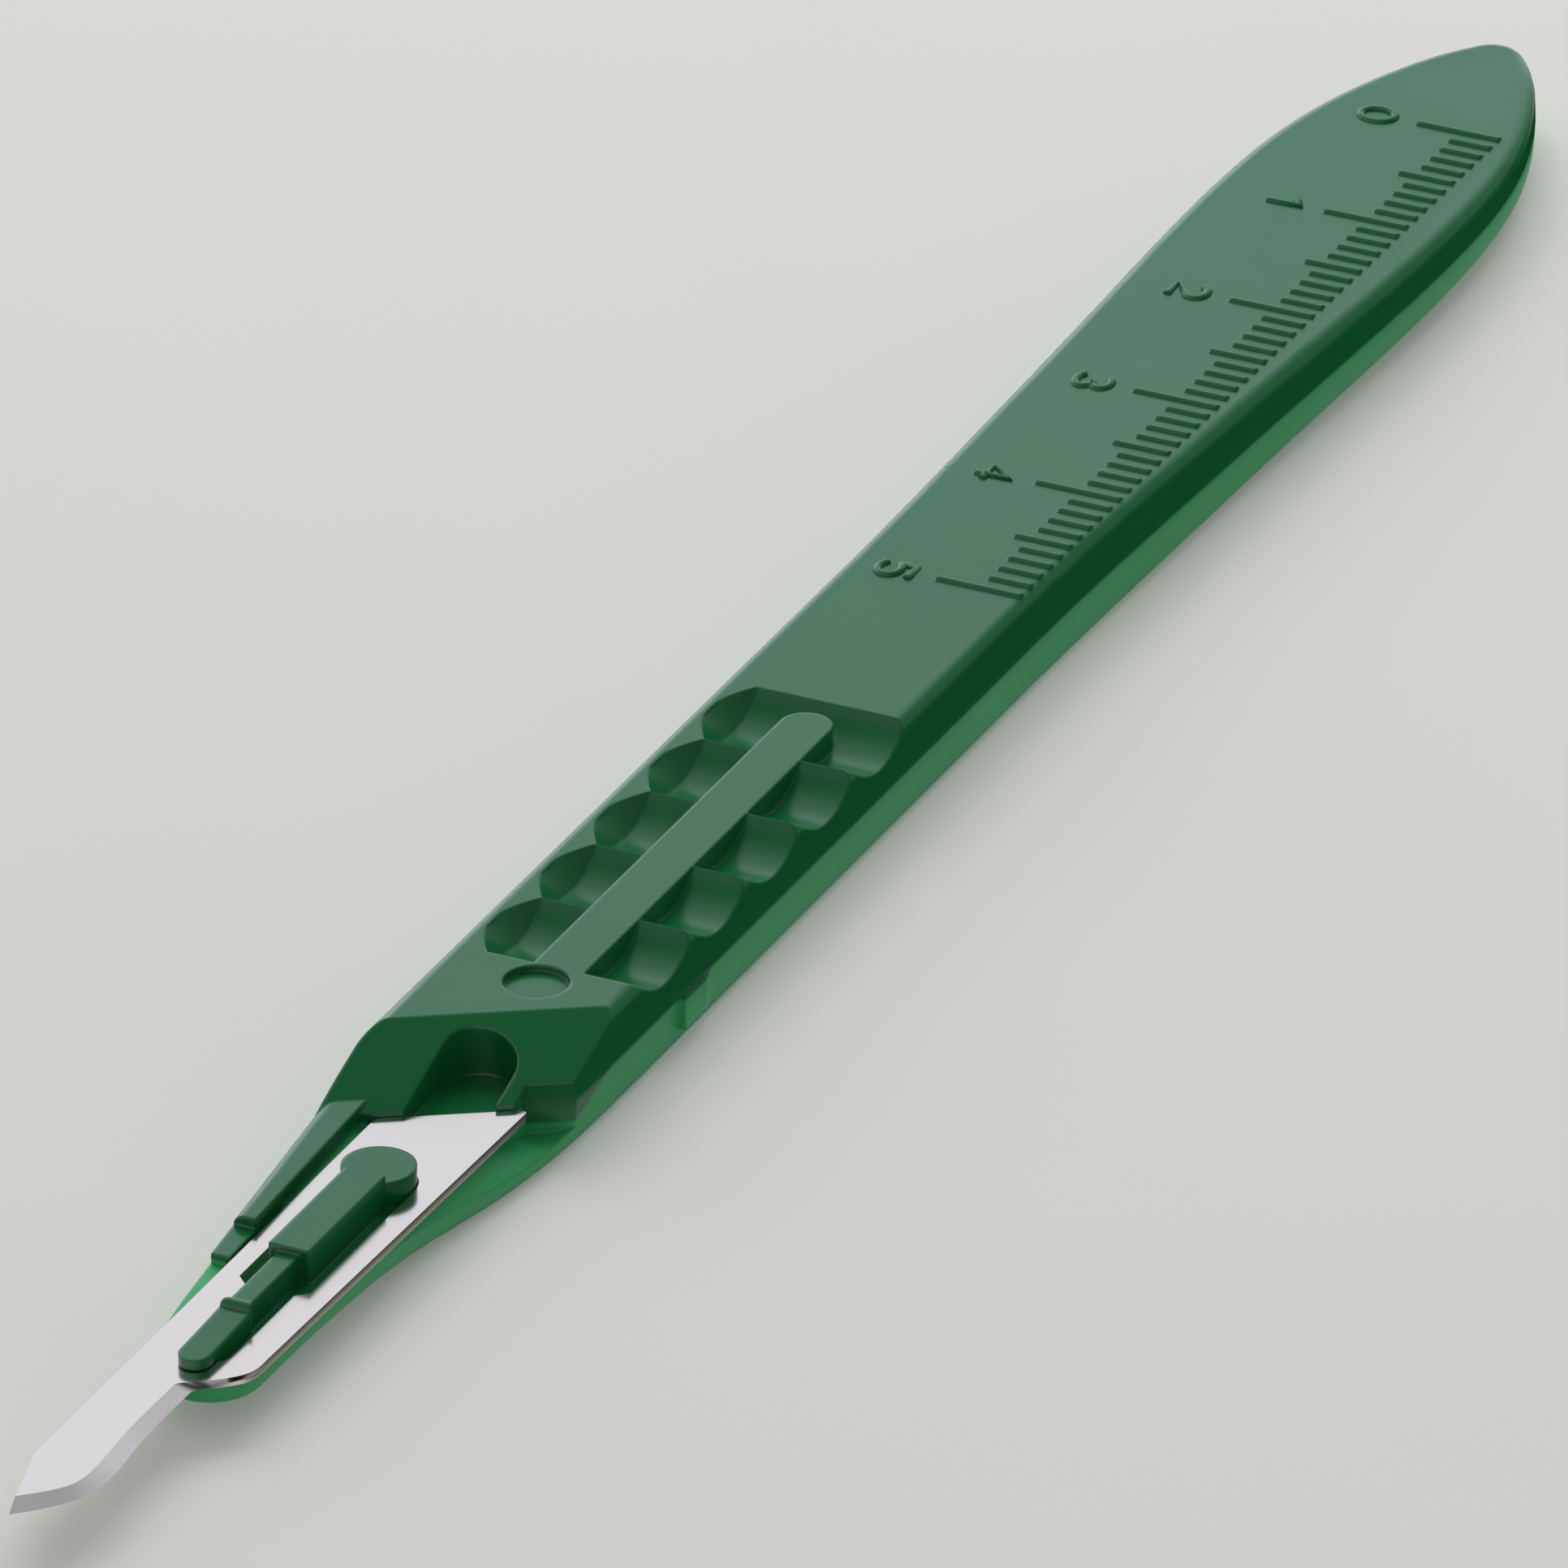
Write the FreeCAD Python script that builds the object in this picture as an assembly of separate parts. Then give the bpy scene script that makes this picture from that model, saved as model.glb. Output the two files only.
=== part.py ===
import FreeCAD, Part
import math
import os

# Disposable scalpel: a one-piece moulded plastic handle with a small curved
# steel blade seated on it for good. Lengths in millimetres.
# While it is drawn, X runs from the zero mark of the ruler toward the blade
# tip, Y toward the cutting edge, and Z = 0 is the top face at the grips.
# At the end everything moves so that the origin is at the middle of the base.

# Handle body
THICK = 4.65            # at the grips
HALF_W = 4.42           # half width at the grips
DRAFT = 0.12            # how far each side wall leans in from the parting line
EDGE_R = 0.6            # rounding of the long edges
BUTT_X = -9.6           # rear end
BUTT_R = 1.5            # rounding of the pointed rear end
BUTT_ANGLE = 50.0       # half the angle that this rounding spans
BUTT_HALF = 5.85        # widest half width, near the butt
BUTT_WIDE_X = 8.5
NECK_X = 50.0           # the flare has died out here
TAPER_X = 48.0          # behind here both faces fall toward the butt
TAPER = 0.02            # fall of each face, mm per mm
TAPER_R = 400.0         # blend into that fall

# Ruler on the top face: half-round ridges
TICK_W = 0.42
TICK_H = 0.15
TICK_END_Y = 3.95
TICK_CM = 3.95          # lengths of the marks
TICK_HALF = 2.6
TICK_MM = 1.95
RULER_MM = 50

# Thumb grips: scoops that run out through one side wall and stop short of the other
GRIP_X = 62.13          # first ridge
GRIP_PITCH = 5.14
GRIP_COUNT = 5
GRIP_DEEP = 1.05
GRIP_RIM = 0.7          # wall left at the blind end
GRIP_END = 0.95         # the floor rises over this length to the blind end
BAR_LOW = -0.5          # raised bar between the two columns
BAR_HIGH = 1.8
BAR_LEAD = 1.07         # from the first ridge to the round end of the bar
DIMPLE_LEAD = 1.43      # round recess ahead of the grips
DIMPLE_Y = 0.33
DIMPLE_D = 2.8
DIMPLE_DEEP = 0.3

# Front of the handle: lengths counted forward from the last ridge
FRONT_X = GRIP_X + GRIP_PITCH * GRIP_COUNT
SKEW = 31.9             # the ramp and the blade heel are skewed by this angle
CREASE_LEAD = 4.46      # top of the ramp, on the centre line
HEEL_LEAD = 9.82        # heel of the blade
HEEL_GAP = 0.07
RAMP_FOOT_Z = -1.88
HOLLOW_LEAD = 5.27      # thumb hollow behind the heel
HOLLOW_Y = 0.35
HOLLOW_W = 3.2
SIDE_LEAD = 0.17        # the sides start to draw in
NOSE_LEAD = 33.37       # front end of the handle
NOSE_R = 2.4
NOSE_ANGLE = -75.0      # where the rounding of the nose meets the spine side
NOSE_SIDE_GAP = 0.05    # the nose stays inside the blade by this
NOSE_T = 1.0            # thickness under the blade
NOSE_RISE_LEAD = 9.67   # the underside starts to rise
NOSE_THIN_LEAD = 27.17  # and ends
NOSE_RISE = 0.03

# Blade
BLADE_T = 0.4
BLADE_Z = -2.53         # underside of the blade, and the seat of the handle
SPINE_Y = -2.2
BLADE_HEEL_Y = 3.15     # cutting side of the wide part, at the heel
BLADE_EDGE_Y = 2.75     # and at the shoulder
BLADE_LEN = 36.0        # from the heel, on the centre line, to the tip
TIP_Y = -1.05
POINT_LEN = 4.45        # from the end of the spine to the tip
EDGE_LEN = 11.65        # from the start of the cutting edge to the tip
SHOULDER_LEN = 3.4      # from the wide part to the start of the cutting edge
EDGE_START_Y = 1.02
BEVEL_W = 0.78
BLADE_CORNER = 0.4
BLADE_ACUTE = 0.18

# Keyhole slot: lengths counted from the middle of its round rear end
SLOT_LEAD = 6.05        # ahead of the heel
SLOT_Y = 0.3
SLOT_WIDE = 3.24
SLOT_NARROW = 2.2
SLOT_WIDE_LEN = 9.3
SLOT_LEN = 16.2

# Boss that the slot passes over, counted from the same point
BOSS_TOP = 1.1          # above the blade's upper face
DISC_D = 3.12
DISC_DROP = 0.3         # the disc stands a little lower than the middle part
MAIN_LEAD = 1.2
MAIN_LEN = 6.9
MAIN_W = 1.8
NECK_LEN = 4.1
NECK_DROP = 0.3
NECK_W = 0.95
TONGUE_LEN = 4.9
TONGUE_W = 1.35
TONGUE_LIFT = 0.06      # clearance under the overhanging tongue
TONGUE_FRONT = 0.5      # top of its front, above the blade
TONGUE_REAR = 0.9       # top of its rounded lip
LIP_LEN = 0.7
DISH_AT = 0.4           # lowest part of the tongue, as a share of its length
DISH_HIGH = 0.2         # and as a share of the drop from the lip to the front
STEM_GAP = 0.4          # from the stem of the tongue to the front end of the slot
BOSS_ROOT = 0.25        # how far the boss reaches into the seat

# Rail along the spine of the blade, stepped down at its front
RAIL_GAP_REAR = 0.6
RAIL_GAP = 0.2
RAIL_LEAD = 11.07
RAIL_LEN = 10.5
RAIL_TOP = -1.62
RAIL_R = 0.45           # rounding of its outer edge
STEP_LIFT = 0.03        # the step stands above the blade by this
STEP_LEN = 2.5

# Flank under the cutting side of the blade
FLANK_GAP = 0.15
FLANK_LEAD = 3.17
FLANK_LEN = 20.0
LEDGE_LEAD = 8.64       # the flank starts with a ledge here

# Guard catch on the cutting side
LUG_BACK = 3.53
LUG_LEN = 3.3
LUG_OUT = 0.28
LUG_HIGH = -2.2
LUG_LOW = -3.7

# Shapes of the free curves, as shares of the lengths that they join.
# The two curves of the blade also give how far the grinding draws each point in,
# backward and sideways, as shares of the width of the bevel.
FLARE = [(0.254, 0.598), (0.569, 0.889)]
WAIST = [(0.313, 0.699), (0.639, 0.287)]
CUTTING = [(0.227, 0.901), (0.373, 0.581), (0.536, 0.163), (0.714, 0.035)]
SPINE = [(0.260, 1.005), (0.390, 0.986), (0.503, 0.910), (0.666, 0.792), (0.841, 0.667)]
UNDER = [(0.314, 0.223), (0.629, 0.688)]
SHOULDER = [(0.382, 0.890, 0.0, 0.0), (0.676, 0.462, 0.1, 0.1), (0.882, 0.133, 0.1, 0.6)]
BELLY = [
    (0.0, 0.0, 0.0, 0.9),
    (0.386, 0.019, 0.0, 0.94),
    (0.652, 0.121, 0.2, 1.0),
    (0.807, -0.077, 0.65, 0.85),
]
TIP_DRAW = 1.4          # the point is drawn back by this share of the bevel
TIP_SLOPE = -1.15       # direction of the cutting edge where it meets the point
# The flank: place along it, depth as a share of the thickness, and lean
FLANK = [
    (0.0, 0.753, 0.1),
    (0.25, 0.742, 0.2),
    (0.38, 0.602, 0.8),
    (0.55, 0.559, 1.2),
    (0.8, 0.538, 1.5),
    (1.0, 0.516, 1.5),
]

# Places that follow from these sizes
Z_PART = -THICK / 2     # parting line at mid height
SKEW_COS = math.cos(math.radians(SKEW))
SKEW_SIN = math.sin(math.radians(SKEW))
CREASE_N = (FRONT_X + CREASE_LEAD) * SKEW_COS
HEEL_X = FRONT_X + HEEL_LEAD
HEEL_N = HEEL_X * SKEW_COS
STOP_N = HEEL_N - HEEL_GAP
LEDGE_N = (FRONT_X + LEDGE_LEAD) * SKEW_COS
BLADE_TOP = BLADE_Z + BLADE_T
TIP_X = HEEL_X + BLADE_LEN
EDGE_X = TIP_X - EDGE_LEN
SLOT_X = HEEL_X + SLOT_LEAD
SLOT_END_X = SLOT_X + SLOT_LEN
MAIN_X = SLOT_X + MAIN_LEAD + MAIN_LEN
TONGUE_X = MAIN_X + NECK_LEN
NOSE_END_X = FRONT_X + NOSE_LEAD
NOSE_SIDE_Y = BLADE_EDGE_Y - NOSE_SIDE_GAP
RAIL_X = FRONT_X + RAIL_LEAD
FAR = 2 * TIP_X         # past everything


def vec(x, y, z=0.0):
    return FreeCAD.Vector(x, y, z)


def line(a, b):
    return Part.makeLine(a, b)


def between(a, b, share):
    return a + (b - a) * share


def spline(points, start, end):
    """Even curve along X through the points, with the directions of its two ends."""
    passes = 60
    count = len(points)
    step = [points[i + 1].x - points[i].x for i in range(count - 1)]
    rise = [(points[i + 1] - points[i]) * (1 / step[i]) for i in range(count - 1)]
    slope = [start * (1 / start.x)] + rise[1:] + [end * (1 / end.x)]
    for _ in range(passes):
        for i in range(1, count - 1):
            a, b = step[i - 1], step[i]
            even = (rise[i - 1] * b + rise[i] * a) * 3
            slope[i] = (even - slope[i - 1] * b - slope[i + 1] * a) * (0.5 / (a + b))
    poles = [points[0]]
    for i in range(count - 1):
        poles.append(points[i] + slope[i] * (step[i] / 3))
        poles.append(points[i + 1] - slope[i + 1] * (step[i] / 3))
    poles.append(points[-1])
    curve = Part.BSplineCurve()
    knots = [p.x for p in points]
    mults = [4] + [2] * (count - 2) + [4]
    curve.buildFromPolesMultsKnots(poles, mults, knots, False, 3)
    return curve.toShape()


def box(x0, x1, y0, y1, z0, z1):
    return Part.makeBox(x1 - x0, y1 - y0, z1 - z0, vec(x0, y0, z0))


def polygon(points):
    """Straight edges from point to point and back to the first."""
    return [line(a, b) for a, b in zip(points, points[1:] + points[:1])]


def prism(edges, z0, z1):
    face = Part.Face(Part.Wire(edges))
    face.translate(vec(0, 0, z0))
    return face.extrude(vec(0, 0, z1 - z0))


def skewed(n, t, z):
    """Point given by its distance along the skewed shoulder direction."""
    return vec(n * SKEW_COS - t * SKEW_SIN, n * SKEW_SIN + t * SKEW_COS, z)


def skew_prism(profile):
    """Profile of (n, z) pairs run across the handle along the shoulder."""
    wire = Part.Wire(polygon([skewed(n, -FAR, z) for n, z in profile]))
    return Part.Face(wire).extrude(skewed(0, 2 * FAR, 0))


def end_arc(centre, radius, start, end):
    """Arc in plan between two angles in degrees, counted from the tip side."""
    def at(angle):
        turn = math.radians(angle)
        return centre + vec(radius * math.cos(turn), radius * math.sin(turn))

    return Part.Arc(at(start), at((start + end) / 2), at(end)).toShape()


def arc_end(edge, last):
    """End point of an arc, and the direction in which it is passed there."""
    value = edge.LastParameter if last else edge.FirstParameter
    return edge.valueAt(value), edge.tangentAt(value)


def handle_plan(inset, z):
    """Outline of the handle, drawn in by the inset, at one height."""
    half = HALF_W - inset
    butt = end_arc(vec(BUTT_X + BUTT_R, 0, z), BUTT_R - inset, 180 + BUTT_ANGLE, 180 - BUTT_ANGLE)
    nose_x = NOSE_END_X - NOSE_R
    nose = end_arc(vec(nose_x, NOSE_SIDE_Y - NOSE_R, z), NOSE_R - inset, 90, NOSE_ANGLE)
    side_x = FRONT_X + SIDE_LEAD
    rear, leave = arc_end(butt, True)
    front, arrive = arc_end(nose, True)
    flare = [(rear.x, rear.y)]
    flare += [(between(BUTT_X, BUTT_WIDE_X, u), BUTT_HALF * v - inset) for u, v in FLARE]
    flare += [(BUTT_WIDE_X, BUTT_HALF - inset)]
    flare += [(between(BUTT_WIDE_X, NECK_X, u), between(half, BUTT_HALF - inset, v)) for u, v in WAIST]
    flare += [(NECK_X, half)]
    cutting = [vec(side_x, half, z)]
    for u, v in CUTTING:
        cutting.append(vec(between(side_x, nose_x, u), between(NOSE_SIDE_Y, HALF_W, v) - inset, z))
    cutting.append(vec(nose_x, NOSE_SIDE_Y - inset, z))
    spine = [vec(side_x, -half, z)]
    spine += [vec(between(side_x, nose_x, u), inset - HALF_W * v, z) for u, v in SPINE]
    spine += [front]
    upper = [vec(x, y, z) for x, y in flare]
    lower = [vec(x, -y, z) for x, y in flare]
    out = [
        butt,
        spline(upper, vec(1, leave.y / leave.x), vec(1, 0)),
        line(upper[-1], cutting[0]),
        spline(cutting, vec(1, 0), vec(1, 0)),
        nose,
        spline(spine, vec(1, 0), vec(1, arrive.y / arrive.x)),
        line(lower[-1], spine[0]),
        spline(lower, vec(1, -leave.y / leave.x), vec(1, 0)),
    ]
    return Part.Wire(Part.__sortEdges__(out))


def fall(x):
    """How far the top face has come down toward the butt at x."""
    run = max(0.0, TAPER_X - x)
    blend = TAPER_R * TAPER
    if run < blend:
        return run * run / (2 * TAPER_R)
    return TAPER * (run - blend / 2)


def handle_side():
    """Side view: flat faces, falling toward the butt, nose rising in front."""
    rear = BUTT_X - BUTT_R
    knee = TAPER_X - TAPER_R * TAPER
    middle = (knee + TAPER_X) / 2
    nose_z = BLADE_Z - NOSE_T
    rise_x = FRONT_X + NOSE_RISE_LEAD
    thin_x = FRONT_X + NOSE_THIN_LEAD
    under = [vec(rise_x, 0, -THICK)]
    under += [vec(between(rise_x, thin_x, u), 0, between(-THICK, nose_z, v)) for u, v in UNDER]
    under += [vec(thin_x, 0, nose_z)]
    nose = vec(NOSE_END_X + 1, 0, nose_z + NOSE_RISE)
    top = [vec(x, 0, -fall(x)) for x in (rear, knee, middle)] + [vec(TAPER_X, 0, 0)]
    low = [vec(p.x, 0, -THICK - p.z) for p in top]
    edges = [
        line(top[0], top[1]),
        Part.Arc(top[1], top[2], top[3]).toShape(),
        line(top[3], vec(nose.x, 0, 0)),
        line(vec(nose.x, 0, 0), nose),
        line(nose, under[-1]),
        spline(under, vec(1, 0, 0), vec(1, 0, NOSE_RISE)),
        line(under[0], low[3]),
        Part.Arc(low[3], low[2], low[1]).toShape(),
        line(low[1], low[0]),
        line(low[0], top[0]),
    ]
    face = Part.Face(Part.Wire(Part.__sortEdges__(edges)))
    face.translate(vec(0, -FAR, 0))
    return face.extrude(vec(0, 2 * FAR, 0))


def long_edges(shape):
    """Edges round the top and the underside, without the ones across."""
    picked = []
    for edge in shape.Edges:
        first, last = edge.Vertexes[0].Point, edge.Vertexes[-1].Point
        middle = edge.valueAt((edge.FirstParameter + edge.LastParameter) / 2)
        across = abs(first.x - last.x) < 0.01 and abs(middle.x - first.x) < 0.01
        upright = abs(first.x - last.x) < 0.3 and abs(first.y - last.y) < 0.1
        if not across and not upright and abs(middle.z - Z_PART) > 0.3:
            picked.append(edge)
    return picked


def handle_body():
    at_parting = handle_plan(0.0, Z_PART)
    upper = Part.makeLoft([at_parting, handle_plan(DRAFT, 0.0)], True, True)
    lower = Part.makeLoft([at_parting, handle_plan(DRAFT, -THICK)], True, True)
    body = upper.fuse(lower).removeSplitter()
    body = body.common(handle_side())
    return body.makeFillet(EDGE_R, long_edges(body))


# Details of the two faces
def half_turn(shape):
    """The same shape on the underside, turned over about the length of the handle."""
    turned = shape.copy()
    turned.rotate(vec(0, 0, Z_PART), vec(1, 0, 0), 180)
    return turned


def grip_scoops():
    """Scoops for both faces, parted by a bar; the underside is the top turned over."""
    radius = (GRIP_PITCH ** 2 / 4 + GRIP_DEEP ** 2) / (2 * GRIP_DEEP)
    blind_y = DRAFT + GRIP_RIM - HALF_W
    half = (BAR_HIGH - BAR_LOW) / 2
    bar_x = GRIP_X + BAR_LEAD + half
    bar = box(bar_x, FRONT_X + half, BAR_LOW, BAR_HIGH, -THICK, 0)
    bar = bar.fuse(Part.makeCylinder(half, THICK, vec(bar_x, BAR_LOW + half, -THICK)))
    scoops = []
    for index in range(GRIP_COUNT):
        x = GRIP_X + GRIP_PITCH * (index + 0.5)
        scoop = Part.makeCylinder(radius, 2 * BUTT_HALF, vec(x, blind_y, radius - GRIP_DEEP), vec(0, 1))
        rim = [edge for edge in scoop.Edges if edge.BoundBox.YMax < blind_y + GRIP_END]
        scoop = scoop.makeChamfer(GRIP_END, rim).cut(bar)
        scoops += [scoop, half_turn(scoop)]
    return scoops


def ruler_ticks():
    radius = (TICK_W ** 2 / 4 + TICK_H ** 2) / (2 * TICK_H)
    ticks = []
    for mark in range(RULER_MM + 1):
        reach = TICK_MM
        if mark % 5 == 0:
            reach = TICK_HALF
        if mark % 10 == 0:
            reach = TICK_CM
        z = TICK_H - radius - fall(mark)
        ticks.append(Part.makeCylinder(radius, reach, vec(mark, TICK_END_Y - reach, z), vec(0, 1)))
    return ticks


# Shoulder, blade seat and what stands round them
def rail():
    """Room that the raised wall along the spine keeps, stepped down at its front."""
    rear_y = SPINE_Y - RAIL_GAP_REAR
    front_y = SPINE_Y - RAIL_GAP

    def wall(length, top):
        y = between(rear_y, front_y, length / RAIL_LEN)
        outer = -BUTT_HALF
        corners = [
            vec(FRONT_X, outer),
            vec(RAIL_X + length, outer),
            vec(RAIL_X + length, y),
            vec(RAIL_X, rear_y),
            vec(FRONT_X, rear_y),
        ]
        return prism(polygon(corners), -THICK, top)

    return wall(RAIL_LEN, RAIL_TOP).fuse(wall(RAIL_LEN + STEP_LEN, BLADE_TOP + STEP_LIFT))


def seat_cut():
    """Everything above the ramp and the seat, with the heel stop between them."""
    profile = [
        (CREASE_N, 0.0),
        (CREASE_N, THICK),
        (FAR, THICK),
        (FAR, BLADE_Z),
        (STOP_N, BLADE_Z),
        (STOP_N, RAMP_FOOT_Z),
    ]
    return skew_prism(profile).cut(rail())


def round_rail(body):
    """Round the outer edge of the rail."""
    edges = [
        edge for edge in body.Edges
        if abs(edge.BoundBox.ZMax - RAIL_TOP) < 0.01
        and edge.BoundBox.ZLength < 0.01
        and edge.BoundBox.XLength > RAIL_LEN / 2
        and edge.BoundBox.YMax < SPINE_Y - RAIL_GAP_REAR
    ]
    return body.makeFillet(RAIL_R, edges)


def flank_cut():
    """Flank on the cutting side, leaning out from below the blade to the wall."""
    inner = BLADE_EDGE_Y - FLANK_GAP
    outer = BUTT_HALF
    sections = []
    for along, down, lean in FLANK:
        x = FRONT_X + FLANK_LEAD + FLANK_LEN * along
        z = -THICK * down
        foot = z - (outer - inner) * lean
        corners = [vec(x, inner, z), vec(x, outer, foot), vec(x, outer, 1), vec(x, inner, 1)]
        sections.append(Part.Wire(polygon(corners)))
    ahead = [(LEDGE_N, THICK), (FAR, THICK), (FAR, -2 * THICK), (LEDGE_N, -2 * THICK)]
    return Part.makeLoft(sections, True, False).common(skew_prism(ahead))


def hollow():
    """Round-backed hollow that lets a thumb reach the heel of the blade."""
    radius = HOLLOW_W / 2
    x = FRONT_X + HOLLOW_LEAD + radius
    back = Part.makeCylinder(radius, THICK, vec(x, HOLLOW_Y, BLADE_Z))
    mouth = box(x, HEEL_X + radius, HOLLOW_Y - radius, HOLLOW_Y + radius, BLADE_Z, 1)
    return back.fuse(mouth)


def tongue():
    """Front of the boss: a dished tongue that reaches over the web of the blade."""
    radius = TONGUE_W / 2
    root = BLADE_Z - BOSS_ROOT
    under = BLADE_TOP + TONGUE_LIFT
    lip = BLADE_TOP + TONGUE_REAR
    front = BLADE_TOP + TONGUE_FRONT
    end_x = TONGUE_X + TONGUE_LEN
    stem_x = SLOT_END_X - STEM_GAP
    round_z = lip - LIP_LEN / 3
    lip_x = TONGUE_X + LIP_LEN
    crown = vec(TONGUE_X + LIP_LEN / 3, 0, lip)
    dish = vec(between(lip_x, end_x, DISH_AT), 0, between(front, lip, DISH_HIGH))
    edges = [
        line(vec(TONGUE_X, 0, root), vec(TONGUE_X, 0, round_z)),
        Part.Arc(vec(TONGUE_X, 0, round_z), crown, vec(lip_x, 0, round_z)).toShape(),
        Part.Arc(vec(lip_x, 0, round_z), dish, vec(end_x, 0, front)).toShape(),
        line(vec(end_x, 0, front), vec(end_x, 0, under)),
        line(vec(end_x, 0, under), vec(stem_x, 0, under)),
        line(vec(stem_x, 0, under), vec(stem_x, 0, root)),
        line(vec(stem_x, 0, root), vec(TONGUE_X, 0, root)),
    ]
    face = Part.Face(Part.Wire(edges))
    face.translate(vec(0, SLOT_Y - radius))
    block = face.extrude(vec(0, TONGUE_W))
    plan = box(TONGUE_X + radius, end_x - radius, SLOT_Y - TONGUE_W, SLOT_Y + TONGUE_W, -THICK, 1)
    for x in (TONGUE_X + radius, end_x - radius):
        plan = plan.fuse(Part.makeCylinder(radius, THICK + 1, vec(x, SLOT_Y, -THICK)))
    return block.common(plan)


def boss():
    """Bayonet boss: round heel, broad middle, thin neck and the tongue."""
    base = BLADE_Z - BOSS_ROOT
    top = BLADE_TOP + BOSS_TOP
    disc = Part.makeCylinder(DISC_D / 2, top - DISC_DROP - base, vec(SLOT_X, SLOT_Y, base))
    half = MAIN_W / 2
    main = box(SLOT_X + MAIN_LEAD, MAIN_X, SLOT_Y - half, SLOT_Y + half, base, top)
    half = NECK_W / 2
    neck_end = TONGUE_X + TONGUE_W / 2
    neck = box(MAIN_X - half, neck_end, SLOT_Y - half, SLOT_Y + half, base, top - NECK_DROP)
    return disc.fuse([main, neck, tongue()]).removeSplitter()


def guard_catch():
    """Small catch on the cutting side wall, its rear end running out into the wall."""
    x = FRONT_X - LUG_BACK
    corners = [
        vec(x, HALF_W - LUG_OUT * 2),
        vec(x, HALF_W + LUG_OUT),
        vec(x - LUG_LEN * 0.6, HALF_W + LUG_OUT),
        vec(x - LUG_LEN, HALF_W - LUG_OUT / 3),
    ]
    return prism(polygon(corners), LUG_LOW, LUG_HIGH)


def make_handle():
    shape = handle_body()
    shape = round_rail(shape.cut(seat_cut()))
    shape = shape.cut(flank_cut())
    shape = shape.cut(hollow())
    shape = shape.cut(grip_scoops())
    dimple = vec(FRONT_X + DIMPLE_LEAD, DIMPLE_Y, -DIMPLE_DEEP)
    shape = shape.cut(Part.makeCylinder(DIMPLE_D / 2, 1, dimple))
    shape = shape.fuse([boss(), guard_catch()])
    shape = shape.fuse(ruler_ticks())
    return shape.removeSplitter()


# Blade: flat strip with a keyhole slot, ground to an edge from both faces
def heel_point(y, z):
    return vec((HEEL_N - y * SKEW_SIN) / SKEW_COS, y, z)


def blade_outline(grind, z):
    """Outline at one height; the edge is drawn in by the grind at the faces."""
    nose = vec(TIP_X - POINT_LEN, SPINE_Y, z)
    drawn_in = TIP_DRAW * grind / POINT_LEN
    tip = vec(TIP_X, TIP_Y, z) * (1 - drawn_in) + nose * drawn_in
    belly = []
    for along, up, back, inward in BELLY:
        x = between(EDGE_X, TIP_X, along) - back * grind
        belly.append(vec(x, between(EDGE_START_Y, TIP_Y, -up) - inward * grind, z))
    belly.append(tip)
    shoulder = [vec(EDGE_X - SHOULDER_LEN, BLADE_EDGE_Y, z)]
    for along, up, back, inward in SHOULDER:
        x = EDGE_X - SHOULDER_LEN * (1 - along) - back * grind
        shoulder.append(vec(x, between(EDGE_START_Y, BLADE_EDGE_Y, up) - inward * grind, z))
    shoulder.append(belly[0])
    start = heel_point(SPINE_Y, z)
    corner = heel_point(BLADE_HEEL_Y, z)
    edges = [
        line(start, nose),
        line(nose, tip),
        spline(belly, vec(1, 0), vec(1, TIP_SLOPE)),
        spline(shoulder, vec(1, 0), vec(1, 0)),
        line(shoulder[0], corner),
        line(corner, start),
    ]
    return Part.Wire(Part.__sortEdges__(edges))


def slot():
    """Keyhole slot: wide with a round rear end, stepping down to a narrow front."""
    wide = SLOT_WIDE / 2
    narrow = SLOT_NARROW / 2
    step_x = SLOT_X + SLOT_WIDE_LEN
    slope_x = step_x + wide - narrow
    front_x = SLOT_END_X - narrow
    low = BLADE_Z - BLADE_T
    tall = 3 * BLADE_T
    corners = [
        vec(SLOT_X, SLOT_Y - wide),
        vec(step_x, SLOT_Y - wide),
        vec(slope_x, SLOT_Y - narrow),
        vec(front_x, SLOT_Y - narrow),
        vec(front_x, SLOT_Y + narrow),
        vec(slope_x, SLOT_Y + narrow),
        vec(step_x, SLOT_Y + wide),
        vec(SLOT_X, SLOT_Y + wide),
    ]
    middle = prism(polygon(corners), low, low + tall)
    rear = Part.makeCylinder(wide, tall, vec(SLOT_X, SLOT_Y, low))
    front = Part.makeCylinder(narrow, tall, vec(front_x, SLOT_Y, low))
    return middle.fuse([rear, front])


def heel_uprights(half):
    """Upright edges of the two heel corners of half a blade."""
    return [
        edge for edge in half.Edges
        if edge.BoundBox.ZLength > BLADE_T * 0.4
        and edge.BoundBox.XLength < BLADE_T * 0.1
        and edge.BoundBox.XMax < SLOT_X - SLOT_WIDE
    ]


def blade_half(sharp, face_z):
    """Half the thickness, from the sharp outline out to one face."""
    half = Part.makeLoft([sharp, blade_outline(BEVEL_W, face_z)], True, True)
    half = half.makeFillet(BLADE_CORNER, [e for e in heel_uprights(half) if e.BoundBox.YMax < 0])
    return half.makeFillet(BLADE_ACUTE, [e for e in heel_uprights(half) if e.BoundBox.YMax > 0])


def make_blade():
    sharp = blade_outline(0.0, BLADE_Z + BLADE_T / 2)
    upper = blade_half(sharp, BLADE_TOP)
    lower = blade_half(sharp, BLADE_Z)
    return upper.fuse(lower).removeSplitter().cut(slot())


# Write the two pieces, with the origin at the middle of the base
to_base = vec(-(BUTT_X + TIP_X) / 2, 0, THICK)
os.makedirs("parts", exist_ok=True)
for name, shape in (("handle", make_handle()), ("blade", make_blade())):
    shape.translate(to_base)
    shape.exportStep("parts/" + name + ".step")
    print(name, shape.isValid(), len(shape.Solids), round(shape.Volume, 2), shape.BoundBox)
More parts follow.
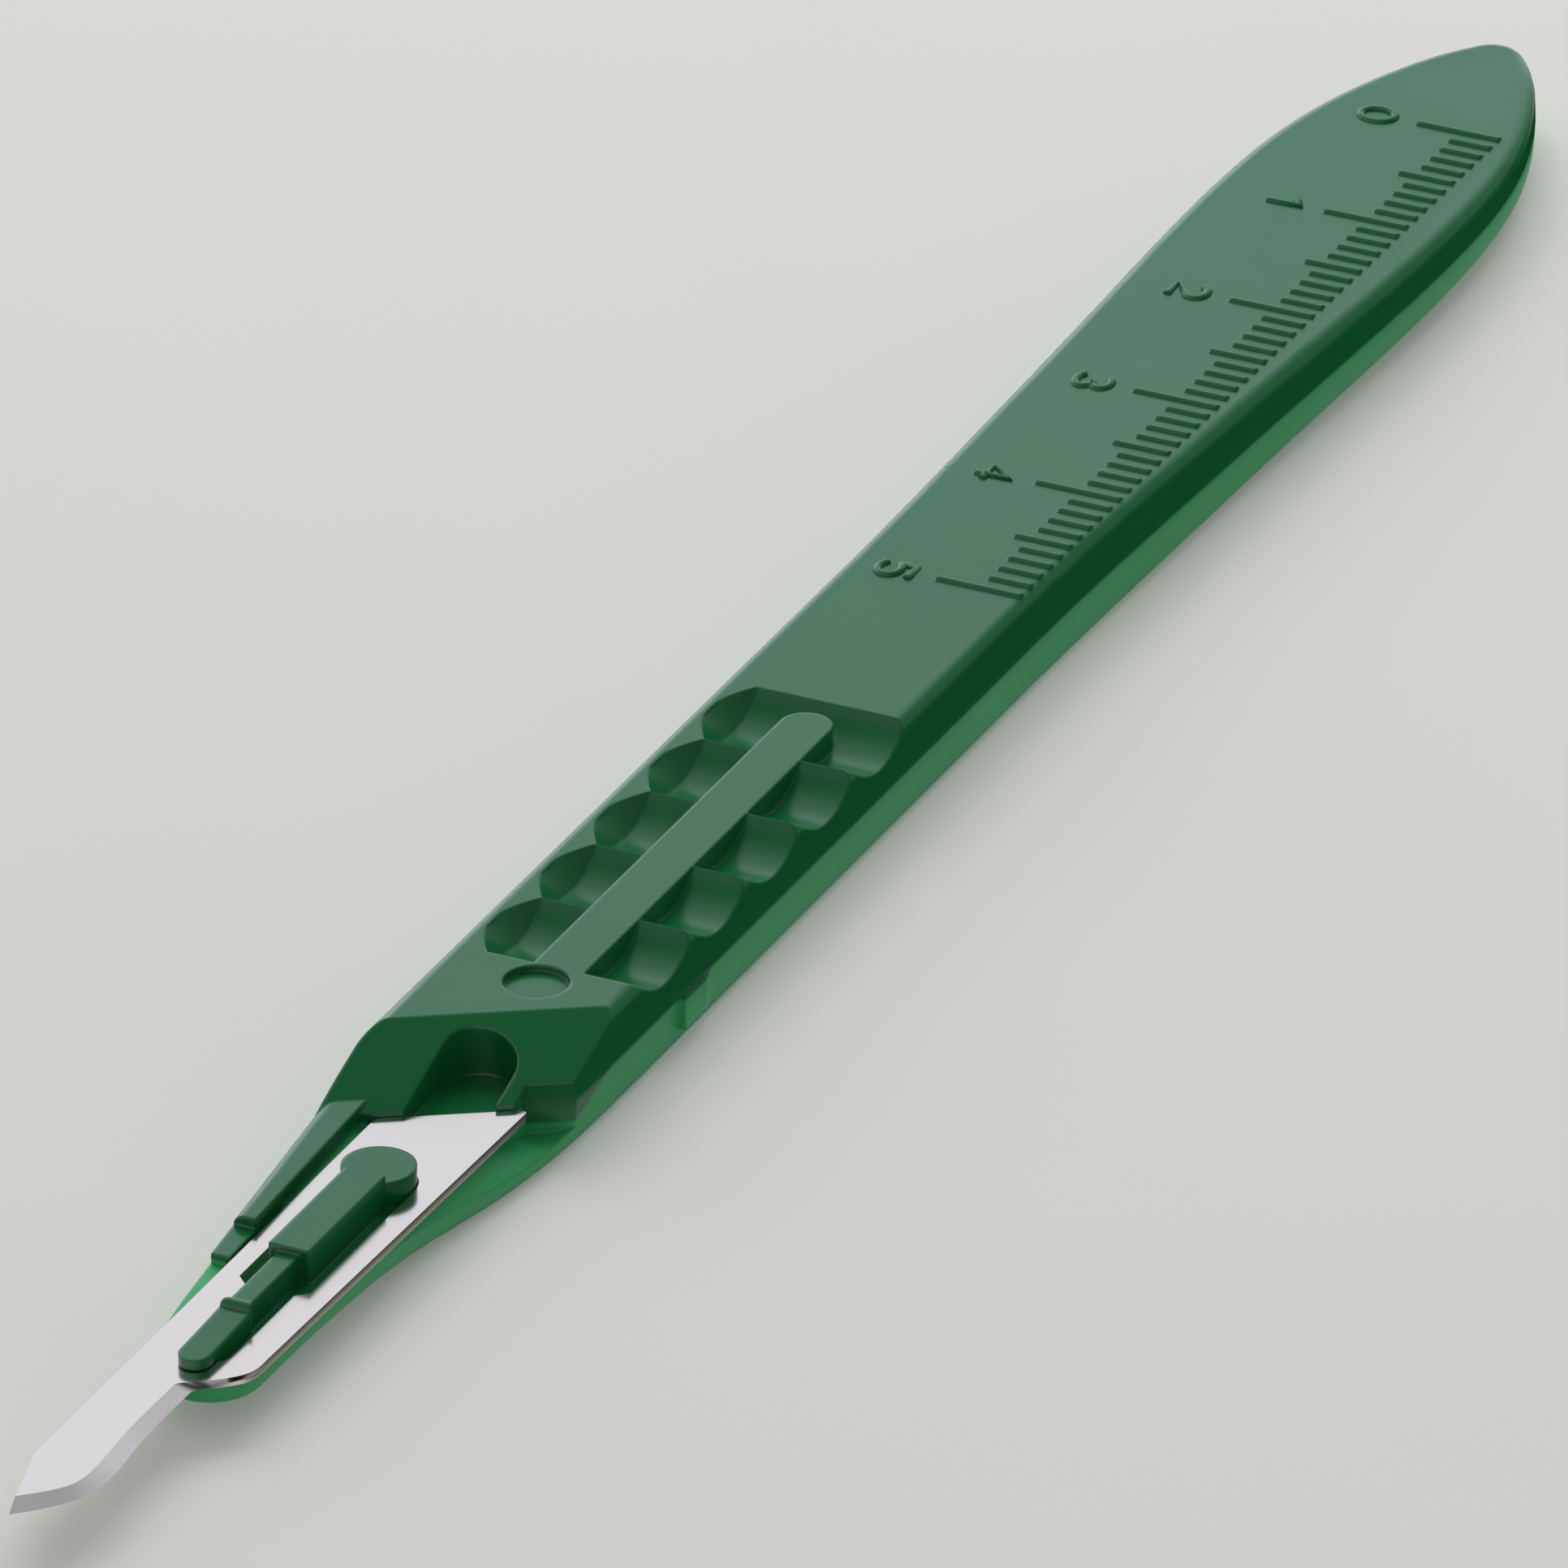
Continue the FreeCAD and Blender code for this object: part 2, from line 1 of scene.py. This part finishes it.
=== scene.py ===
"""Looks of a disposable scalpel: moulded handle, blade, the raised figures of its scale and a studio.

The file is laid out as an add-on: the sizes and colours are properties, each piece has an operator,
and main() runs them in order. Lengths in the properties are in millimetres, as on the object.
"""

import math

import bmesh
import bpy
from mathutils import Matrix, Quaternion, Vector


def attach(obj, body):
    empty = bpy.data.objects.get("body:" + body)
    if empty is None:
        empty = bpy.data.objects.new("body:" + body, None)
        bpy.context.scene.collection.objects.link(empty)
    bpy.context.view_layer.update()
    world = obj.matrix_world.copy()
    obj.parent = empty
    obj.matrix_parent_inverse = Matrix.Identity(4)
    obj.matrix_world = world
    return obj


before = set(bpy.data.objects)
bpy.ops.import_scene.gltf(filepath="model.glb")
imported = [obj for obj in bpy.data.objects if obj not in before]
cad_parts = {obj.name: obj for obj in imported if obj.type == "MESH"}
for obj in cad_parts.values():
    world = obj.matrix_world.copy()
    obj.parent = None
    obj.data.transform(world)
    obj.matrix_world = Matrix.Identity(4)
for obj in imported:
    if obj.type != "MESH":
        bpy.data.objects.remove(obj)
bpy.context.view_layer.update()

bl_info = {
    "name": "Disposable scalpel looks",
    "version": (1, 0, 0),
    "blender": (4, 5, 0),
    "location": "3D View > Sidebar > Scalpel",
    "description": "Finishes, scale figures and studio of a disposable scalpel",
    "category": "Object",
}

MM = 0.001
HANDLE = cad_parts["handle"]
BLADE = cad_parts["blade"]


# Properties

class ScalpelSizes(bpy.types.PropertyGroup):
    """Sizes of what the looks add, in millimetres."""

    zero_mark: bpy.props.FloatProperty(
        name="Zero mark", description="Place of the zero mark along the handle", default=-62.025)
    centimetre: bpy.props.FloatProperty(
        name="Centimetre", description="Distance from one figure to the next", default=10.0, min=1.0)
    figure_middle: bpy.props.FloatProperty(
        name="Figure middle", description="Place of the figures across the handle", default=-1.95)
    figure_height: bpy.props.FloatProperty(
        name="Figure height", description="Height of a figure of the scale", default=2.0, min=0.5)
    figure_width: bpy.props.FloatProperty(
        name="Figure width", description="Width of a figure of the scale", default=1.7, min=0.3)
    stroke: bpy.props.FloatProperty(
        name="Stroke", description="Width of the cutter that drew the figures", default=0.42, min=0.05)
    relief: bpy.props.FloatProperty(
        name="Relief", description="How far the figures stand above the face", default=0.15, min=0.02)
    # The parting line, its drop at the shoulder and the shoulder's places only set where the lower half's
    # painted paler green and its matt finish begin.
    parting: bpy.props.FloatProperty(
        name="Parting line", description="Height at which the halves of the mould meet", default=2.325)
    parting_drop: bpy.props.FloatProperty(
        name="Drop at the shoulder", description="How far the parting line comes down at the shoulder",
        default=1.0)
    shoulder: bpy.props.FloatVectorProperty(
        name="Shoulder", description="Where that drop begins, is reached and ends, along the handle",
        size=3, default=(28.5, 32.0, 33.4))
    edge: bpy.props.FloatProperty(
        name="Edges", description="Rounding of the moulded edges", default=0.2, min=0)
    # The blade seat and the seat width only keep the lower half's painted paler green and its matt finish
    # off the hollow and the seat.
    seat: bpy.props.FloatProperty(
        name="Blade seat", description="Height of the seat under the blade", default=2.12)
    seat_width: bpy.props.FloatProperty(
        name="Seat width", description="Width of the seat and of the hollow behind it", default=5.0)
    grain: bpy.props.FloatProperty(
        name="Mould grain", description="Size of the grain that the mould leaves", default=0.12, min=0.01)
    grinding: bpy.props.FloatProperty(
        name="Grinding lines", description="Spacing of the grinding lines on the blade", default=0.05,
        min=0.01)


class ScalpelColours(bpy.types.PropertyGroup):
    """Colours as sRGB hex values."""

    plastic: bpy.props.StringProperty(
        name="Plastic", description="Green of the polished half of the handle", default="#106A38")
    # Painted light: a paler green that stands in for the light the lower half of the handle catches from
    # below.
    plastic_painted_light: bpy.props.StringProperty(
        name="Plastic, matt", description="Green below the parting line, where the surface is matt",
        default="#31A865")
    steel: bpy.props.StringProperty(
        name="Steel", description="Ground stainless steel of the blade", default="#EAE4D7")
    floor: bpy.props.StringProperty(
        name="Floor", description="Pale paper under the scalpel", default="#E4E4E1")


class ScalpelStudio(bpy.types.PropertyGroup):
    """Camera and light."""

    azimuth: bpy.props.FloatProperty(
        name="Azimuth", description="Direction of the camera round the object",
        default=math.radians(115.598), subtype="ANGLE")
    elevation: bpy.props.FloatProperty(
        name="Elevation", description="Height of the camera above the horizon",
        default=math.radians(28.1235), subtype="ANGLE")
    roll: bpy.props.FloatProperty(
        name="Roll", description="Turn of the camera about its own line of sight",
        default=math.radians(-0.109), subtype="ANGLE")
    place: bpy.props.FloatVectorProperty(
        name="Camera place", description="Where the camera stands, in millimetres", size=3,
        default=(721.843, 344.357, 428.050))
    lens: bpy.props.FloatProperty(
        name="Lens", description="Focal length on a sensor 36 mm wide", default=495.26, min=10)
    card: bpy.props.FloatProperty(
        name="Card", description="Brightness of the large card behind the object", default=1.4, min=0)
    key: bpy.props.FloatProperty(
        name="Key", description="Brightness of the softbox above and behind the object", default=2.9, min=0)
    fill: bpy.props.FloatProperty(
        name="Fill", description="Brightness of the room", default=0.3, min=0)
    near_floor: bpy.props.FloatProperty(
        name="Near floor", description="Light added to the floor where it is mirrored steeply",
        default=0.12, min=0)
    right_loss: bpy.props.FloatProperty(
        name="Right loss", description="Share of the room's brightness that gloss misses on the right",
        default=0.75, min=0, max=1)
    left_gain: bpy.props.FloatProperty(
        name="Left gain", description="Share of the room's brightness that gloss gains on the left",
        default=0.5, min=0)
    low_floor: bpy.props.FloatProperty(
        name="Low floor", description="Light added to the floor where it is mirrored at a low angle",
        default=0.5, min=0)
    backdrop: bpy.props.FloatProperty(
        name="Backdrop", description="Brightness of the room as the camera sees it", default=0.72, min=0)
    floor_lift: bpy.props.FloatProperty(
        name="Floor lift", description="Light added to the floor for the camera alone", default=0.16, min=0)


# Materials

def linear(code):
    """Linear RGBA of an sRGB hex colour."""
    out = []
    for start in (1, 3, 5):
        value = int(code[start:start + 2], 16) / 255
        out.append(value / 12.92 if value <= 0.04045 else ((value + 0.055) / 1.055) ** 2.4)
    return (*out, 1.0)


def add(tree, kind, links=None, **settings):
    """Adds a node, sets its properties and sockets, and links sockets to other nodes' outputs.

    A socket is named by its name with underscores, or by i and its number.
    """
    node = tree.nodes.new(kind)
    sockets = {}
    for key, value in settings.items():
        if hasattr(node, key):
            setattr(node, key, value)
        else:
            sockets[key] = value
    for key, value in sockets.items():
        node.inputs[int(key[1:]) if key[1:].isdigit() else key.replace("_", " ")].default_value = value
    for key, value in (links or {}).items():
        tree.links.new(value, node.inputs[key])
    return node


def new_material(name):
    material = bpy.data.materials.new(name)
    material.use_nodes = True
    material.node_tree.nodes.clear()
    return material, material.node_tree


def step_up(tree, value, start, end):
    """From 0 at the start to 1 at the end, with soft ends."""
    node = add(tree, "ShaderNodeMapRange", {"Value": value},
               interpolation_type="SMOOTHSTEP", i1=start, i2=end)
    return node.outputs["Result"]


def math_node(tree, operation, *values):
    node = add(tree, "ShaderNodeMath", operation=operation)
    for socket, value in zip(node.inputs, values):
        if isinstance(value, (int, float)):
            socket.default_value = value
        else:
            tree.links.new(value, socket)
    return node.outputs[0]


def moulded_plastic(sizes, colours):
    """Polypropylene, injection moulded: deep green and satin. Matt below the parting line, where a paler
    green is painted light that stands in for the light the lower half catches from below.
    """
    material, tree = new_material("polypropylene_moulded_green")
    place = add(tree, "ShaderNodeTexCoord")
    split = add(tree, "ShaderNodeSeparateXYZ", {"Vector": place.outputs["Object"]})
    height = split.outputs["Z"]
    begin, full, end = (value * MM for value in sizes.shoulder)
    down = step_up(tree, split.outputs["X"], begin, full)
    back = step_up(tree, split.outputs["X"], end, end - 0.6 * MM)
    cutting_side = math_node(tree, "GREATER_THAN", split.outputs["Y"], 0.0)
    drop = math_node(tree, "MULTIPLY", math_node(tree, "MULTIPLY", down, back), cutting_side)
    above = math_node(tree, "MULTIPLY_ADD", drop, sizes.parting_drop * MM, height)
    below = step_up(tree, above, (sizes.parting + 0.12) * MM, (sizes.parting - 0.12) * MM)
    across = math_node(tree, "ABSOLUTE", split.outputs["Y"])
    beside = math_node(tree, "GREATER_THAN", across, sizes.seat_width / 2 * MM)
    under = math_node(tree, "LESS_THAN", height, (sizes.seat - 0.05) * MM)
    outside = math_node(tree, "MAXIMUM", beside, under)
    # Painted light: below the parting line, and down over the flank at the shoulder, this mask paints the
    # paler green that stands in for the light the lower half catches from below; it also makes that half
    # matt.
    matt_and_painted_light = math_node(tree, "MULTIPLY", below, outside)
    grain = add(tree, "ShaderNodeTexNoise", {"Vector": place.outputs["Object"]},
                Scale=1 / (sizes.grain * MM), Detail=3.0, Roughness=0.55)
    clouds = add(tree, "ShaderNodeTexNoise", {"Vector": place.outputs["Object"]},
                 Scale=1 / (9.0 * MM), Detail=2.0, Roughness=0.5)
    # Painted light: the paler green of the lower half is mixed in here.
    tone = add(tree, "ShaderNodeMix", {"Factor": matt_and_painted_light}, data_type="RGBA", i6=linear(colours.plastic),
               i7=linear(colours.plastic_painted_light))
    level = add(tree, "ShaderNodeMapRange", {"Value": clouds.outputs["Fac"]}, i3=0.93, i4=1.07)
    shade = add(tree, "ShaderNodeHueSaturation",
                {"Color": tone.outputs[2], "Value": level.outputs["Result"]})
    satin = add(tree, "ShaderNodeMapRange", {"Value": grain.outputs["Fac"]}, i3=0.2, i4=0.25)
    rough = math_node(tree, "MULTIPLY_ADD", matt_and_painted_light, 0.22, satin.outputs["Result"])
    soft = add(tree, "ShaderNodeBevel", samples=6, Radius=sizes.edge * MM)
    bump = add(tree, "ShaderNodeBump", {"Height": grain.outputs["Fac"], "Normal": soft.outputs["Normal"]},
               Strength=0.02, Distance=0.01 * MM)
    shader = add(tree, "ShaderNodeBsdfPrincipled",
                 {"Base Color": shade.outputs["Color"], "Roughness": rough,
                  "Normal": bump.outputs["Normal"]}, IOR=1.49)
    add(tree, "ShaderNodeOutputMaterial", {"Surface": shader.outputs["BSDF"]})
    return material


def ground_steel(sizes, colours):
    """Martensitic stainless steel, rolled bright and ground: soft mirror, faint lines along the strip."""
    material, tree = new_material("stainless_steel_ground")
    place = add(tree, "ShaderNodeTexCoord")
    stretch = add(tree, "ShaderNodeMapping", {"Vector": place.outputs["Object"]}, Scale=(0.03, 1.0, 1.0))
    lines = add(tree, "ShaderNodeTexNoise", {"Vector": stretch.outputs["Vector"]},
                Scale=1 / (sizes.grinding * MM), Detail=2.0, Roughness=0.6)
    rough = add(tree, "ShaderNodeMapRange", {"Value": lines.outputs["Fac"]}, i3=0.12, i4=0.2)
    bump = add(tree, "ShaderNodeBump", {"Height": lines.outputs["Fac"]}, Strength=0.05, Distance=0.004 * MM)
    shader = add(tree, "ShaderNodeBsdfPrincipled",
                 {"Roughness": rough.outputs["Result"], "Normal": bump.outputs["Normal"]},
                 Base_Color=linear(colours.steel), Metallic=1.0)
    add(tree, "ShaderNodeOutputMaterial", {"Surface": shader.outputs["BSDF"]})
    return material


def to_the_right(tree, studio, direction, sign=1, start=0.2, end=0.6):
    """From 0 for a direction straight behind the object to 1 for one far to the right, or left, of it."""
    right = Vector((math.cos(studio.azimuth), math.sin(studio.azimuth), 0)) * sign
    turned = add(tree, "ShaderNodeVectorMath", {0: direction}, operation="DOT_PRODUCT", i1=right)
    return step_up(tree, turned.outputs["Value"], start, end)


def studio_paper(studio, colours):
    """Matt paper, faintly uneven, which the camera sees lifted.

    Gloss sees it close by and, to the left and behind, at low angles. Elsewhere gloss sees it dark.
    """
    material, tree = new_material("paper_matt_pale")
    place = add(tree, "ShaderNodeTexCoord")
    fibres = add(tree, "ShaderNodeTexNoise", {"Vector": place.outputs["Object"]},
                 Scale=1 / (30 * MM), Detail=3.0)
    mottle = add(tree, "ShaderNodeMapRange", {"Value": fibres.outputs["Fac"]}, i3=0.985, i4=1.015)
    tone = add(tree, "ShaderNodeHueSaturation", {"Value": mottle.outputs["Result"]},
               Color=linear(colours.floor))
    paper = add(tree, "ShaderNodeBsdfDiffuse", {"Color": tone.outputs["Color"]}, Roughness=0.3)
    ray = add(tree, "ShaderNodeLightPath")
    view = add(tree, "ShaderNodeNewGeometry")
    slope = add(tree, "ShaderNodeSeparateXYZ", {"Vector": view.outputs["Incoming"]})
    steep = step_up(tree, slope.outputs["Z"], 0.2, 0.4)
    right = to_the_right(tree, studio, view.outputs["Incoming"], -1)
    far = step_up(tree, ray.outputs["Ray Length"], 3.5 * MM, 5.5 * MM)
    mirrored = math_node(tree, "MULTIPLY_ADD", steep, studio.near_floor - studio.low_floor,
                         studio.low_floor)
    seen = math_node(tree, "MULTIPLY", ray.outputs["Is Camera Ray"], studio.floor_lift)
    level = math_node(tree, "MULTIPLY_ADD", ray.outputs["Is Glossy Ray"], mirrored, seen)
    lift = add(tree, "ShaderNodeEmission", {"Color": tone.outputs["Color"], "Strength": level})
    lifted = add(tree, "ShaderNodeAddShader", {0: paper.outputs["BSDF"], 1: lift.outputs["Emission"]})
    unlit = math_node(tree, "MULTIPLY", far, math_node(tree, "MAXIMUM", steep, right))
    dark = math_node(tree, "MULTIPLY", unlit, ray.outputs["Is Glossy Ray"])
    black = add(tree, "ShaderNodeBsdfDiffuse", Color=(0.0, 0.0, 0.0, 1.0))
    shader = add(tree, "ShaderNodeMixShader",
                 {0: dark, 1: lifted.outputs["Shader"], 2: black.outputs["BSDF"]})
    add(tree, "ShaderNodeOutputMaterial", {"Surface": shader.outputs["Shader"]})
    return material


def dress(obj, material):
    obj.data.materials.clear()
    obj.data.materials.append(material)


# Pieces

def figure_strokes(figure):
    """Strokes of one figure, in a box one unit high and wide.

    A part of a stroke is a point or ("arc", centre, radii, from, to), with the turns in degrees.
    """
    if figure == 0:
        return [[("arc", (0, 0), (0.5, 0.5), 90, 450)]]
    if figure == 1:
        return [[(-0.3, 0.28), (0.06, 0.5), (0.06, -0.5)]]
    if figure == 2:
        return [[("arc", (0, 0.2), (0.46, 0.3), 165, -35), (-0.46, -0.5), (0.5, -0.5)]]
    if figure == 3:
        return [[("arc", (0, 0.25), (0.42, 0.25), 150, -90), ("arc", (0, -0.25), (0.48, 0.25), 90, -150)]]
    if figure == 4:
        return [[(0.22, -0.5), (0.22, 0.5), (-0.48, -0.2), (0.5, -0.2)]]
    return [[(0.42, 0.5), (-0.36, 0.5), (-0.42, 0.04), ("arc", (0, -0.18), (0.48, 0.32), 140, -150)]]


def stroke_points(parts, width, height):
    """Evenly curved line through the parts of a stroke, in millimetres."""
    points = []
    for part in parts:
        if part[0] != "arc":
            points.append((part[0] * width, part[1] * height))
            continue
        _, centre, radii, start, end = part
        steps = max(4, round(abs(end - start) / 12))
        for step in range(steps + 1):
            turn = math.radians(start + (end - start) * step / steps)
            points.append(((centre[0] + radii[0] * math.cos(turn)) * width,
                           (centre[1] + radii[1] * math.sin(turn)) * height))
    return points


# A line along the handle that meets only the bare face, clear of marks and figures
BARE_LINE = -3.2 * MM


def face_height(x):
    """Height of the face that carries the scale, found on the handle itself."""
    hit, place, _, _ = HANDLE.ray_cast(Vector((x, BARE_LINE, 1)), Vector((0, 0, -1)))
    if not hit:
        raise RuntimeError("the handle has no face under the figure at " + str(x))
    return place.z


class OBJECT_OT_scalpel_handle(bpy.types.Operator):
    """Gives the handle its moulded plastic"""

    bl_idname = "object.scalpel_handle"
    bl_label = "Handle finish"

    def execute(self, context):
        scene = context.scene
        dress(HANDLE, moulded_plastic(scene.scalpel_sizes, scene.scalpel_colours))
        return {"FINISHED"}


class OBJECT_OT_scalpel_blade(bpy.types.Operator):
    """Gives the blade its ground steel"""

    bl_idname = "object.scalpel_blade"
    bl_label = "Blade finish"

    def execute(self, context):
        scene = context.scene
        dress(BLADE, ground_steel(scene.scalpel_sizes, scene.scalpel_colours))
        return {"FINISHED"}


class OBJECT_OT_scalpel_figures(bpy.types.Operator):
    """Adds the raised figures 0 to 5 beside the centimetre marks"""

    bl_idname = "object.scalpel_figures"
    bl_label = "Scale figures"

    def execute(self, context):
        sizes = context.scene.scalpel_sizes
        for figure in range(6):
            self.add_figure(context, sizes, figure)
        return {"FINISHED"}

    def add_figure(self, context, sizes, figure):
        width = sizes.figure_width - sizes.stroke
        height = sizes.figure_height - sizes.stroke
        x = (sizes.zero_mark + figure * sizes.centimetre) * MM
        curve = bpy.data.curves.new("figure_stroke", "CURVE")
        curve.dimensions = "3D"
        curve.bevel_depth = sizes.stroke / 2 * MM
        curve.bevel_resolution = 3
        curve.use_fill_caps = True
        for parts in figure_strokes(figure):
            points = stroke_points(parts, width, height)
            closed = figure == 0
            if closed:
                points = points[:-1]
            spline = curve.splines.new("POLY")
            spline.points.add(len(points) - 1)
            spline.use_cyclic_u = closed
            for point, (u, v) in zip(spline.points, points):
                point.co = (u * MM, v * MM, 0, 1)
        source = bpy.data.objects.new("figure_source", curve)
        context.scene.collection.objects.link(source)
        context.view_layer.update()
        mesh = bpy.data.meshes.new_from_object(source.evaluated_get(context.evaluated_depsgraph_get()))
        bpy.data.objects.remove(source)
        flat = 2 * sizes.relief / sizes.stroke
        for vertex in mesh.vertices:
            u, v, w = vertex.co
            vertex.co = (x + u, sizes.figure_middle * MM + v, face_height(x) + w * flat)
        piece = bpy.data.objects.new("scale_figure_" + str(figure), mesh)
        context.scene.collection.objects.link(piece)
        for polygon in mesh.polygons:
            polygon.use_smooth = True
        dress(piece, bpy.data.materials["polypropylene_moulded_green"])
        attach(piece, "root")


# Studio

def area_light(name, place, size, radiance):
    """Rectangular light of the given radiance that faces the object. Gloss mirrors the room instead."""
    light = bpy.data.lights.new(name, "AREA")
    light.shape = "RECTANGLE"
    light.size, light.size_y = size
    light.energy = radiance * math.pi * size[0] * size[1]
    lamp = bpy.data.objects.new(name, light)
    lamp.location = place
    lamp.rotation_euler = (-Vector(place)).to_track_quat("-Z", "Y").to_euler()
    lamp.visible_camera = False
    lamp.visible_glossy = False
    bpy.context.scene.collection.objects.link(lamp)


# What gloss mirrors: sine of the height above the horizon, and brightness there, in a slightly cool white
ROOM = ((0.0, 1.1), (0.5, 0.9), (0.55, 0.89), (0.62, 0.64), (0.81, 0.4), (0.88, 0.32),
        (0.945, 0.03), (0.975, 0.02), (0.99, 0.5))
COOL_WHITE = (0.93, 0.95, 1.12)


class SCENE_OT_scalpel_stage(bpy.types.Operator):
    """Sets the floor, the light and the camera"""

    bl_idname = "scene.scalpel_stage"
    bl_label = "Studio"

    def execute(self, context):
        scene = context.scene
        studio = scene.scalpel_studio
        self.add_floor(scene, studio)
        self.add_room(scene, studio)
        self.add_lights(studio)
        self.add_camera(scene, studio)
        scene.view_settings.view_transform = "Standard"
        return {"FINISHED"}

    def add_floor(self, scene, studio):
        mesh = bpy.data.meshes.new("floor")
        build = bmesh.new()
        bmesh.ops.create_grid(build, x_segments=1, y_segments=1, size=3.0)
        build.to_mesh(mesh)
        build.free()
        floor = bpy.data.objects.new("floor", mesh)
        scene.collection.objects.link(floor)
        dress(floor, studio_paper(studio, scene.scalpel_colours))

    def add_room(self, scene, studio):
        """Even soft light, a pale backdrop for the camera, and a graded room for gloss."""
        world = bpy.data.worlds.new("room")
        scene.world = world
        world.use_nodes = True
        tree = world.node_tree
        tree.nodes.clear()
        ray = add(tree, "ShaderNodeLightPath")
        plain = math_node(tree, "MULTIPLY_ADD", ray.outputs["Is Camera Ray"], studio.backdrop - studio.fill,
                          studio.fill)
        even = add(tree, "ShaderNodeBackground", {"Strength": plain}, Color=(1.0, 1.0, 1.0, 1.0))
        place = add(tree, "ShaderNodeTexCoord")
        height = add(tree, "ShaderNodeSeparateXYZ", {"Vector": place.outputs["Generated"]})
        ramp = add(tree, "ShaderNodeValToRGB", {"Fac": height.outputs["Z"]})
        stops = ramp.color_ramp.elements
        stops.remove(stops[1])
        for index, (sine, level) in enumerate(ROOM):
            stop = stops[0] if index == 0 else stops.new(sine)
            stop.position = sine
            stop.color = (*(level * share for share in COOL_WHITE), 1.0)
        right = to_the_right(tree, studio, place.outputs["Generated"])
        left = to_the_right(tree, studio, place.outputs["Generated"], start=-0.02, end=-0.2)
        dimmed = math_node(tree, "MULTIPLY_ADD", right, -studio.right_loss, 1.0)
        side = math_node(tree, "MULTIPLY_ADD", left, studio.left_gain, dimmed)
        mirrored = add(tree, "ShaderNodeBackground", {"Color": ramp.outputs["Color"], "Strength": side})
        mix = add(tree, "ShaderNodeMixShader",
                  {0: ray.outputs["Is Glossy Ray"], 1: even.outputs["Background"],
                   2: mirrored.outputs["Background"]})
        add(tree, "ShaderNodeOutputWorld", {"Surface": mix.outputs["Shader"]})

    def add_lights(self, studio):
        """Wide upright card behind the object and a softbox above it, with places and sizes in metres."""
        away = Vector((-math.sin(studio.azimuth), math.cos(studio.azimuth), 0))
        area_light("card_rear", away * 0.8 + Vector((0, 0, 0.3)), (2.2, 0.6), studio.card)
        area_light("softbox_upper", away * 0.55 + Vector((0, 0, 0.7)), (0.9, 0.5), studio.key)

    def add_camera(self, scene, studio):
        data = bpy.data.cameras.new("camera")
        data.lens = studio.lens
        data.sensor_width = 36
        data.clip_start = 0.05
        camera = bpy.data.objects.new("camera", data)
        camera.location = Vector(studio.place) * MM
        azimuth, elevation = studio.azimuth, studio.elevation
        ahead = Vector((-math.sin(azimuth) * math.cos(elevation), math.cos(azimuth) * math.cos(elevation),
                        -math.sin(elevation)))
        camera.rotation_mode = "QUATERNION"
        camera.rotation_quaternion = ahead.to_track_quat("-Z", "Y") @ Quaternion((0, 0, 1), studio.roll)
        scene.collection.objects.link(camera)
        scene.camera = camera


class VIEW3D_PT_scalpel(bpy.types.Panel):
    """Lists the sizes, the colours and the steps"""

    bl_idname = "VIEW3D_PT_scalpel"
    bl_label = "Scalpel"
    bl_space_type = "VIEW_3D"
    bl_region_type = "UI"
    bl_category = "Scalpel"

    def draw(self, context):
        layout = self.layout
        scene = context.scene
        for group in (scene.scalpel_sizes, scene.scalpel_colours, scene.scalpel_studio):
            for name in group.bl_rna.properties.keys():
                if name not in ("rna_type", "name"):
                    layout.prop(group, name)
        for operator in OPERATORS:
            layout.operator(operator.bl_idname)


OPERATORS = (OBJECT_OT_scalpel_handle, OBJECT_OT_scalpel_blade, OBJECT_OT_scalpel_figures,
             SCENE_OT_scalpel_stage)
CLASSES = (ScalpelSizes, ScalpelColours, ScalpelStudio, *OPERATORS, VIEW3D_PT_scalpel)


def register():
    for item in CLASSES:
        bpy.utils.register_class(item)
    bpy.types.Scene.scalpel_sizes = bpy.props.PointerProperty(type=ScalpelSizes)
    bpy.types.Scene.scalpel_colours = bpy.props.PointerProperty(type=ScalpelColours)
    bpy.types.Scene.scalpel_studio = bpy.props.PointerProperty(type=ScalpelStudio)


def unregister():
    del bpy.types.Scene.scalpel_studio
    del bpy.types.Scene.scalpel_colours
    del bpy.types.Scene.scalpel_sizes
    for item in reversed(CLASSES):
        bpy.utils.unregister_class(item)


def main():
    register()
    bpy.ops.object.scalpel_handle()
    bpy.ops.object.scalpel_blade()
    bpy.ops.object.scalpel_figures()
    bpy.ops.scene.scalpel_stage()


if __name__ == "__main__":
    main()
